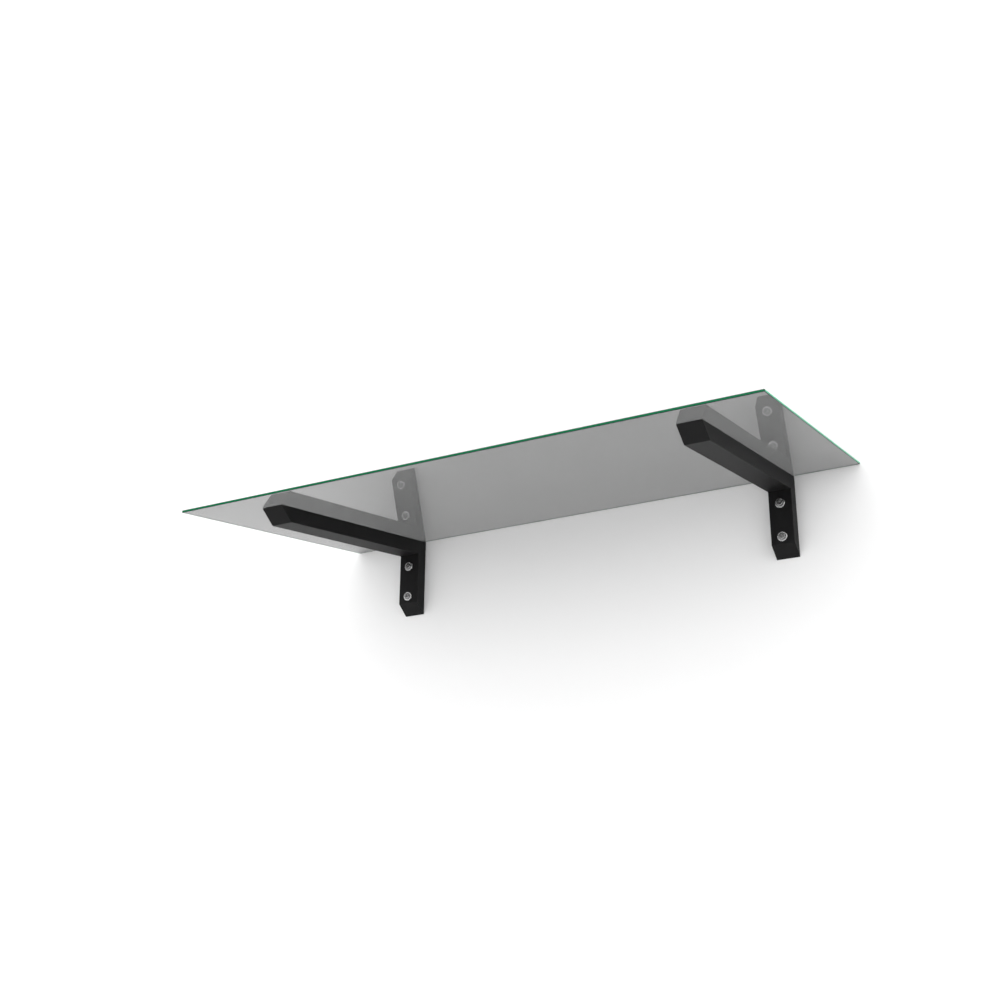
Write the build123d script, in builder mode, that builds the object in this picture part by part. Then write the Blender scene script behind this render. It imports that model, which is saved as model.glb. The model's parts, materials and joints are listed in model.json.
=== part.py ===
"""Wall shelf: a sloping glass panel bonded to two bevelled bar brackets that are screwed to the wall.

Frame, in mm: +X along the shelf, -Y out of the wall, +Z up. The wall surface is the plane Y = 0.
The origin is on the wall, at the centre of the four fixings.
"""
from build123d import *
import math
import os

os.makedirs("parts", exist_ok=True)

# Layout
SLOPE = 10.0  # the glass falls this many degrees towards the front
BRACKET_SPACING = 550.0
FIXING_PITCH = 45.0  # between a leg's two screws
CORNER_Z = 64.0  # height of the line where the top of the arms meets the wall

# Glass
GLASS_LENGTH = 750.0
GLASS_DEPTH = 400.0
GLASS_THICKNESS = 3.0
GLASS_WALL_GAP = 0.5
GLASS_LIFT = 0.2  # stand-off of the glass above the arms, set by the tape
GLASS_ARRIS = 0.6

# Brackets
BAR_WIDTH = 30.0
BAR_THICKNESS = 20.0
ARM_LENGTH = 350.0
LEG_LENGTH = 110.0
BEVEL_ANGLE = 45.0  # end cuts, measured from the plane of the glass
EDGE_ROUND = 0.6

# Bonding tape and its groove along the top of each arm
TAPE_WIDTH = 20.0
TAPE_LENGTH = 300.0
TAPE_START = 25.0
GROOVE_DEPTH = 1.0
GROOVE_CLEARANCE = 0.3

# Screws and washers
SHANK_R = 2.2  # plain part inside the leg
THREAD_R = 2.5
SCREW_HOLE_R = 2.75
SCREW_LENGTH = 62.0
HEAD_R = 4.25
HEAD_HEIGHT = 3.6
HEAD_ROUND = 1.1
HEX_ACROSS_FLATS = 4.0
HEX_DEPTH = 2.4
THREAD_PITCH = 3.0
THREAD_DEPTH = 0.7
THREAD_TURNS = 12  # all of them behind the wall surface
CREST_END = 0.2  # each turn, as a share of the pitch: the crest, the slope down, the root, the slope up
ROOT_START = 0.4
ROOT_END = 0.8
RUN_OUT = 0.6
POINT_R = 0.4
WASHER_R = 6.25
WASHER_HOLE_R = 2.65
WASHER_HEIGHT = 2.4
WASHER_FLOOR = 0.8  # under the head, which sits in the cup
CUP_R = 5.0
WASHER_EDGE = 0.5

slope = math.radians(SLOPE)
down_arm = Vector(0, -math.cos(slope), -math.sin(slope))
up_glass = Vector(0, -math.sin(slope), math.cos(slope))
corner = Vector(0, 0, CORNER_Z)


def on_arm(distance, height, x=0.0):
    """The point at a distance from the wall down the arm and a height above the arm's top."""
    return corner + down_arm * distance + up_glass * height + Vector(x, 0, 0)


def across(point):
    """A point's coordinates on the sketch plane that looks along X."""
    return (point.Y, point.Z)


def glass_plane(distance, height, x=0.0):
    """A plane parallel to the glass: its X runs along the shelf and its normal is the glass normal."""
    return Plane(origin=on_arm(distance, height, x), x_dir=(1, 0, 0), z_dir=tuple(up_glass))


# ---- Glass ----
with BuildPart() as glass_shelf:
    with BuildSketch(glass_plane(GLASS_WALL_GAP + GLASS_DEPTH / 2, GLASS_LIFT)):
        Rectangle(GLASS_LENGTH, GLASS_DEPTH)
    extrude(amount=GLASS_THICKNESS)
    chamfer(glass_shelf.edges(), length=GLASS_ARRIS)
glass_shelf.part.label = "glass_shelf"
export_step(glass_shelf.part, "parts/glass_shelf.step")

# ---- Brackets: one bent bar each, with an arm under the glass and a leg on the wall ----
tip_back = BAR_THICKNESS / math.tan(math.radians(BEVEL_ANGLE))
foot_rise = BAR_THICKNESS * math.tan(math.radians(BEVEL_ANGLE - SLOPE))
inner = (BAR_THICKNESS + BAR_THICKNESS * math.sin(slope)) / math.cos(slope)
profile = [
    across(on_arm(0, 0)),
    across(on_arm(ARM_LENGTH, 0)),
    across(on_arm(ARM_LENGTH - tip_back, -BAR_THICKNESS)),
    across(on_arm(inner, -BAR_THICKNESS)),
    (-BAR_THICKNESS, CORNER_Z - LEG_LENGTH + foot_rise),
    (0, CORNER_Z - LEG_LENGTH),
]
screw_heights = {"upper": FIXING_PITCH / 2, "lower": -FIXING_PITCH / 2}

for side, x in (("left", -BRACKET_SPACING / 2), ("right", BRACKET_SPACING / 2)):
    with BuildPart() as bracket:
        with BuildSketch(Plane(origin=(x, 0, 0), x_dir=(0, 1, 0), z_dir=(1, 0, 0))):
            Polygon(*profile, align=None)
        extrude(amount=BAR_WIDTH / 2, both=True)
        fillet(bracket.edges(), radius=EDGE_ROUND)
        with BuildSketch(glass_plane(TAPE_START + TAPE_LENGTH / 2, 0, x)):
            Rectangle(TAPE_WIDTH + 2 * GROOVE_CLEARANCE, TAPE_LENGTH + 2 * GROOVE_CLEARANCE)
        extrude(amount=-GROOVE_DEPTH, mode=Mode.SUBTRACT)
        for z in screw_heights.values():
            with BuildSketch(Plane(origin=(x, 0, z), x_dir=(1, 0, 0), z_dir=(0, -1, 0))):
                Circle(SCREW_HOLE_R)
            extrude(amount=BAR_THICKNESS, mode=Mode.SUBTRACT)
    bracket.part.label = f"{side}_bracket"
    export_step(bracket.part, f"parts/{side}_bracket.step")

    with BuildPart() as tape:
        with BuildSketch(glass_plane(TAPE_START + TAPE_LENGTH / 2, -GROOVE_DEPTH, x)):
            Rectangle(TAPE_WIDTH, TAPE_LENGTH)
        extrude(amount=GROOVE_DEPTH + GLASS_LIFT)
    tape.part.label = f"{side}_bonding_tape"
    export_step(tape.part, f"parts/{side}_bonding_tape.step")

    for level, z in screw_heights.items():
        # Cup washer, flat on the front of the leg, with a raised rim round the head
        cup_floor = -BAR_THICKNESS - WASHER_FLOOR
        with BuildPart() as washer:
            with BuildSketch(Plane(origin=(x, -BAR_THICKNESS, z), x_dir=(1, 0, 0), z_dir=(0, -1, 0))):
                Circle(WASHER_R)
                Circle(WASHER_HOLE_R, mode=Mode.SUBTRACT)
            extrude(amount=WASHER_HEIGHT)
            with BuildSketch(Plane(origin=(x, cup_floor, z), x_dir=(1, 0, 0), z_dir=(0, -1, 0))):
                Circle(CUP_R)
            extrude(amount=WASHER_HEIGHT - WASHER_FLOOR, mode=Mode.SUBTRACT)
            front_edges = washer.edges().filter_by(GeomType.CIRCLE).group_by(Axis.Y)[0]
            chamfer(front_edges.sort_by(SortBy.RADIUS)[-1], length=WASHER_EDGE)
        washer.part.label = f"{side}_{level}_washer"
        export_step(washer.part, f"parts/{side}_{level}_washer.step")

        # Screw: domed head with a hex socket, plain shank, ringed thread and point
        head_base = cup_floor
        head_top = head_base - HEAD_HEIGHT
        tip = head_base + SCREW_LENGTH
        with BuildPart() as screw:
            with BuildSketch(Plane(origin=(x, head_base, z), x_dir=(1, 0, 0), z_dir=(0, -1, 0))):
                Circle(HEAD_R)
            extrude(amount=HEAD_HEIGHT)
            fillet(screw.edges().group_by(Axis.Y)[0], radius=HEAD_ROUND)
            with BuildSketch(Plane(origin=(x, head_top, z), x_dir=(1, 0, 0), z_dir=(0, 1, 0))):
                RegularPolygon(HEX_ACROSS_FLATS / 2, 6, major_radius=False)
            extrude(amount=HEX_DEPTH, mode=Mode.SUBTRACT)
            with BuildSketch(Plane(origin=(x, 0, z), x_dir=(0, 1, 0), z_dir=(1, 0, 0))):
                with BuildLine():
                    root = THREAD_R - THREAD_DEPTH
                    outline = [(head_base, 0), (head_base, SHANK_R), (0, SHANK_R), (0, THREAD_R)]
                    for turn in range(THREAD_TURNS):
                        start = turn * THREAD_PITCH
                        outline.append((start + THREAD_PITCH * CREST_END, THREAD_R))
                        outline.append((start + THREAD_PITCH * ROOT_START, root))
                        outline.append((start + THREAD_PITCH * ROOT_END, root))
                        outline.append((start + THREAD_PITCH, THREAD_R))
                    outline.append((THREAD_TURNS * THREAD_PITCH + RUN_OUT, root))
                    outline += [(tip, POINT_R), (tip, 0)]
                    Polyline(*outline, close=True)
                make_face()
            revolve(axis=Axis((x, 0, z), (0, 1, 0)))
        screw.part.label = f"{side}_{level}_screw"
        export_step(screw.part, f"parts/{side}_{level}_screw.step")
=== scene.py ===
"""Looks for the sloping glass wall shelf: glass with green edges, powder coat, plated screws, tape.

Metres, in the CAD frame: +X along the shelf, -Y out of the wall, +Z up, the wall surface at Y = 0.
"""
import json
import math

import bmesh
import bpy
from mathutils import Matrix, Vector

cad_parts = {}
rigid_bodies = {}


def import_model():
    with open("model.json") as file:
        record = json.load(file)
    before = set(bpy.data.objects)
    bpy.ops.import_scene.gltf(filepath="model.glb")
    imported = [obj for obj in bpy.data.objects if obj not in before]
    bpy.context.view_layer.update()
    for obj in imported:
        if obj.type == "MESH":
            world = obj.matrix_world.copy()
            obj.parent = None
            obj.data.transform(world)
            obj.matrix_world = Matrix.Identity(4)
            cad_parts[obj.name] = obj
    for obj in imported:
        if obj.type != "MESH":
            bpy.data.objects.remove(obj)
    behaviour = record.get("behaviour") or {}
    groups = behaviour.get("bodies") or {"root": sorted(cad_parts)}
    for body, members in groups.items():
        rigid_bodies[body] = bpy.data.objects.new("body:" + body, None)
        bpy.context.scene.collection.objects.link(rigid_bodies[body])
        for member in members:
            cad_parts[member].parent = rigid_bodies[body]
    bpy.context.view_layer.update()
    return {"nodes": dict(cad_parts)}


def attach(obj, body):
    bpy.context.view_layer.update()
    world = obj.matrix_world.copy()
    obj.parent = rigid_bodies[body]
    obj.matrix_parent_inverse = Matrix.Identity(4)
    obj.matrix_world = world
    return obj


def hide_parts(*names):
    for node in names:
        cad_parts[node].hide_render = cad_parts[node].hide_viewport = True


SIDES = ("left", "right")
LEVELS = ("upper", "lower")

# Camera: angles in degrees, lens and sensor in millimetres
CAMERA_PLACE = (0.7364, -1.6277, -0.6216)
CAMERA_YAW = 28.25  # turned to its left of straight at the wall
CAMERA_PITCH = 21.55  # tipped up
CAMERA_ROLL = 0.45  # counter-clockwise, seen from behind the camera
LENS = 50.0
SENSOR_WIDTH = 36.0

# Glass
SLOPE = math.radians(10)
FACE_UP = 0.95  # a face this square to the glass normal is one of the two large ones
SQUARE = 0.9  # the ground edges are this square to the panel; what lies between is the arris
BODY, LONG_EDGE, END_EDGE, ARRIS = range(4)  # material slots of the panel
GLASS_TINT = (0.24, 0.2415, 0.241)
PANEL_IOR = 1.24  # under real glass, for the weaker mirror image that the panel shows
LONG_EDGE_GREEN = (0.004, 0.13, 0.052)
# Painted light: the end edges get a lighter copy of the edge green, for the light they catch.
END_EDGE_LIT_GREEN = (0.06, 0.5, 0.27)
# Painted shade: the arris gets a dark grey copy of the edge colour, drawn as a thin dark line.
ARRIS_PAINTED_SHADE_GREY = (0.012, 0.03, 0.024)
EDGE_IOR = 1.52
EDGE_SPECULAR = 0.07

# Brackets and tape
COAT_BLACK = (0.0085, 0.0085, 0.0088)
COAT_SPECULAR = 0.13
TAPE_BLACK = (0.02, 0.02, 0.02)

# Fixings
# Painted light and shade: washer and screw head are one plated steel, the washer painted lighter
# and the head darker.
WASHER_LIT_GREY = 0.7
SCREW_SHADED_GREY = 0.3

# Noise in the materials
NOISE_DETAIL = 3.0
NOISE_LOW = 0.3  # nearly all of the noise lies between these two
NOISE_HIGH = 0.7

# Studio
STAGE_SIZE = 40.0
WALL_SET_BACK = 0.0002  # keeps the wall off the brackets' backs
FLOOR_DROP = 1.3
WALL_WHITE = (0.95, 0.95, 0.95)
WALL_ROUGHNESS = 0.9
FLOOR_GREY = (0.68, 0.68, 0.68)
FLOOR_ROUGHNESS = 0.8
WORLD_WHITE = (1, 1, 1)
WORLD_STRENGTH = 1.28
# Each area light: place, target, side, watts
LIGHTS = {
    "key_light": ((0.1, -2.2, 2.4), (0, 0, 0), 3.5, 7),
    "low_fill_light": ((-0.2, -2.4, -0.5), (0, 0, -0.1), 2.5, 16),
    "side_light": ((2.4, -1.6, 0.4), (0.2, 0, 0), 2.0, 4),
}


def new_material(name):
    """A node material and its Principled shader."""
    material = bpy.data.materials.new(name)
    material.use_nodes = True
    return material, material.node_tree.nodes["Principled BSDF"]


def add_bump(material, shader, scale, strength, distance):
    """Fine unevenness from noise in object space, as a bump on the shader's normal."""
    nodes, links = material.node_tree.nodes, material.node_tree.links
    place = nodes.new("ShaderNodeTexCoord")
    noise = nodes.new("ShaderNodeTexNoise")
    noise.inputs["Scale"].default_value = scale
    noise.inputs["Detail"].default_value = NOISE_DETAIL
    bump = nodes.new("ShaderNodeBump")
    bump.inputs["Strength"].default_value = strength
    bump.inputs["Distance"].default_value = distance
    links.new(place.outputs["Object"], noise.inputs["Vector"])
    links.new(noise.outputs["Fac"], bump.inputs["Height"])
    links.new(bump.outputs["Normal"], shader.inputs["Normal"])
    return noise


def vary(material, source, socket, low, high):
    """Maps a noise onto a number socket of the shader."""
    nodes, links = material.node_tree.nodes, material.node_tree.links
    spread = nodes.new("ShaderNodeMapRange")
    spread.inputs["From Min"].default_value = NOISE_LOW
    spread.inputs["From Max"].default_value = NOISE_HIGH
    spread.inputs["To Min"].default_value = low
    spread.inputs["To Max"].default_value = high
    links.new(source.outputs["Fac"], spread.inputs["Value"])
    links.new(spread.outputs["Result"], socket)


def powder_coat():
    material, shader = new_material("black_powder_coat")
    shader.inputs["Base Color"].default_value = (*COAT_BLACK, 1)
    shader.inputs["Specular IOR Level"].default_value = COAT_SPECULAR
    noise = add_bump(material, shader, scale=1400, strength=0.25, distance=0.00006)
    vary(material, noise, shader.inputs["Roughness"], 0.5, 0.62)
    return material


def plated_steel(name, grey):
    material, shader = new_material(name)
    shader.inputs["Base Color"].default_value = (grey, grey, grey, 1)
    shader.inputs["Metallic"].default_value = 1.0
    noise = add_bump(material, shader, scale=500, strength=0.02, distance=0.00001)
    vary(material, noise, shader.inputs["Roughness"], 0.22, 0.3)
    return material


def foam_tape():
    material, shader = new_material("foam_tape")
    shader.inputs["Base Color"].default_value = (*TAPE_BLACK, 1)
    noise = add_bump(material, shader, scale=2500, strength=0.5, distance=0.0001)
    vary(material, noise, shader.inputs["Roughness"], 0.75, 0.95)
    return material


def glass_body():
    """Tinted, see-through and glossy: the panel's two large faces."""
    material, shader = new_material("glass_body")
    shader.inputs["Base Color"].default_value = (*GLASS_TINT, 1)
    shader.inputs["IOR"].default_value = PANEL_IOR
    shader.inputs["Transmission Weight"].default_value = 1.0
    noise = add_bump(material, shader, scale=6, strength=0.001, distance=0.0002)
    vary(material, noise, shader.inputs["Roughness"], 0.0, 0.003)
    return material


def glass_edge(name, colour):
    """The colour that a ground edge face is given; the ends' lighter green is painted light and the
    arris's dark grey is painted shade.
    """
    material, shader = new_material(name)
    shader.inputs["Base Color"].default_value = (*colour, 1)
    shader.inputs["IOR"].default_value = EDGE_IOR
    shader.inputs["Specular IOR Level"].default_value = EDGE_SPECULAR
    noise = add_bump(material, shader, scale=700, strength=0.2, distance=0.00005)
    vary(material, noise, shader.inputs["Roughness"], 0.18, 0.32)
    return material


def make_glass(record_node):
    """The panel with arrised edges, rebuilt from the CAD node's own mesh: faces by material."""
    panel = record_node.copy()
    panel.data = record_node.data.copy()
    panel.name = "glass_panel"
    bpy.context.collection.objects.link(panel)
    panel.data.materials.clear()
    panel.data.materials.append(glass_body())
    panel.data.materials.append(glass_edge("glass_long_edge", LONG_EDGE_GREEN))
    # Painted light: the end faces get the lighter copy of the edge green.
    panel.data.materials.append(glass_edge("glass_end_edge_painted_light", END_EDGE_LIT_GREEN))
    # Painted shade: the arris faces get the dark grey.
    panel.data.materials.append(glass_edge("glass_arris_painted_shade", ARRIS_PAINTED_SHADE_GREY))
    up = Vector((0, -math.sin(SLOPE), math.cos(SLOPE)))
    mesh = bmesh.new()
    mesh.from_mesh(panel.data)
    for face in mesh.faces:
        if abs(face.normal.dot(up)) > FACE_UP:
            face.material_index = BODY
        elif abs(face.normal.x) > SQUARE:
            face.material_index = END_EDGE
        else:
            along = abs(face.normal.cross(up).x) > SQUARE
            face.material_index = LONG_EDGE if along else ARRIS
        face.smooth = False
    mesh.to_mesh(panel.data)
    mesh.free()
    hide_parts("glass_shelf")
    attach(panel, "root")


def dress(nodes):
    """Materials for the CAD nodes that stay."""
    coat, tape = powder_coat(), foam_tape()
    # Painted light and shade: a lighter copy of the steel for the washers, a darker one for the
    # screw heads.
    rim = plated_steel("washer_steel_painted_light", WASHER_LIT_GREY)
    head = plated_steel("screw_head_steel_painted_shade", SCREW_SHADED_GREY)
    wanted = {}
    for side in SIDES:
        wanted[f"{side}_bracket"] = coat
        wanted[f"{side}_bonding_tape"] = tape
        for level in LEVELS:
            wanted[f"{side}_{level}_screw"] = head
            wanted[f"{side}_{level}_washer"] = rim
    for name, material in wanted.items():
        nodes[name].data.materials.clear()
        nodes[name].data.materials.append(material)


def flat_square(name, centre, turn, size):
    """A square of stage, facing the local +Z after the turn."""
    mesh = bpy.data.meshes.new(name)
    half = size / 2
    corners = [(-half, -half, 0), (half, -half, 0), (half, half, 0), (-half, half, 0)]
    mesh.from_pydata(corners, [], [(0, 1, 2, 3)])
    square = bpy.data.objects.new(name, mesh)
    square.matrix_world = Matrix.Translation(centre) @ turn
    bpy.context.collection.objects.link(square)
    return square


def wall_paint():
    """White from the front; clear from behind, so that the wall doesn't hide the shelf's back."""
    material, shader = new_material("wall_paint")
    shader.inputs["Base Color"].default_value = (*WALL_WHITE, 1)
    shader.inputs["Roughness"].default_value = WALL_ROUGHNESS
    nodes, links = material.node_tree.nodes, material.node_tree.links
    side = nodes.new("ShaderNodeNewGeometry")
    clear = nodes.new("ShaderNodeBsdfTransparent")
    mix = nodes.new("ShaderNodeMixShader")
    links.new(side.outputs["Backfacing"], mix.inputs["Fac"])
    links.new(shader.outputs["BSDF"], mix.inputs[1])
    links.new(clear.outputs["BSDF"], mix.inputs[2])
    links.new(mix.outputs["Shader"], nodes["Material Output"].inputs["Surface"])
    return material


def make_stage():
    upright = Matrix.Rotation(math.radians(90), 4, "X")
    wall = flat_square("wall", (0, WALL_SET_BACK, 0), upright, STAGE_SIZE)
    wall.data.materials.append(wall_paint())
    floor = flat_square("floor", (0, 0, -FLOOR_DROP), Matrix.Identity(4), STAGE_SIZE)
    pale, shader = new_material("pale_floor")
    shader.inputs["Base Color"].default_value = (*FLOOR_GREY, 1)
    shader.inputs["Roughness"].default_value = FLOOR_ROUGHNESS
    floor.data.materials.append(pale)


def area_light(name, place, target, size, power):
    light = bpy.data.lights.new(name, "AREA")
    light.size = size
    light.energy = power
    lamp = bpy.data.objects.new(name, light)
    lamp.location = place
    lamp.rotation_euler = (Vector(target) - Vector(place)).to_track_quat("-Z", "Y").to_euler()
    bpy.context.collection.objects.link(lamp)


def make_light():
    world = bpy.data.worlds.new("studio")
    world.use_nodes = True
    background = world.node_tree.nodes["Background"]
    background.inputs["Color"].default_value = (*WORLD_WHITE, 1)
    background.inputs["Strength"].default_value = WORLD_STRENGTH
    bpy.context.scene.world = world
    for name, (place, target, size, power) in LIGHTS.items():
        area_light(name, place, target, size, power)


def show_true_colours():
    """White paint shows as white: no filmic curve over the studio's highlights."""
    bpy.context.scene.view_settings.view_transform = "Standard"


def make_camera():
    data = bpy.data.cameras.new("camera")
    data.lens = LENS
    data.sensor_width = SENSOR_WIDTH
    camera = bpy.data.objects.new("camera", data)
    turn = Matrix.Rotation(math.radians(CAMERA_YAW), 4, "Z")
    tip = Matrix.Rotation(math.radians(90 + CAMERA_PITCH), 4, "X")
    roll = Matrix.Rotation(math.radians(CAMERA_ROLL), 4, "Z")
    camera.matrix_world = Matrix.Translation(CAMERA_PLACE) @ turn @ tip @ roll
    bpy.context.collection.objects.link(camera)
    bpy.context.scene.camera = camera


for leftover in list(bpy.data.objects):
    bpy.data.objects.remove(leftover)
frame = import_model()
make_glass(frame["nodes"]["glass_shelf"])
dress(frame["nodes"])
make_stage()
make_light()
show_true_colours()
make_camera()
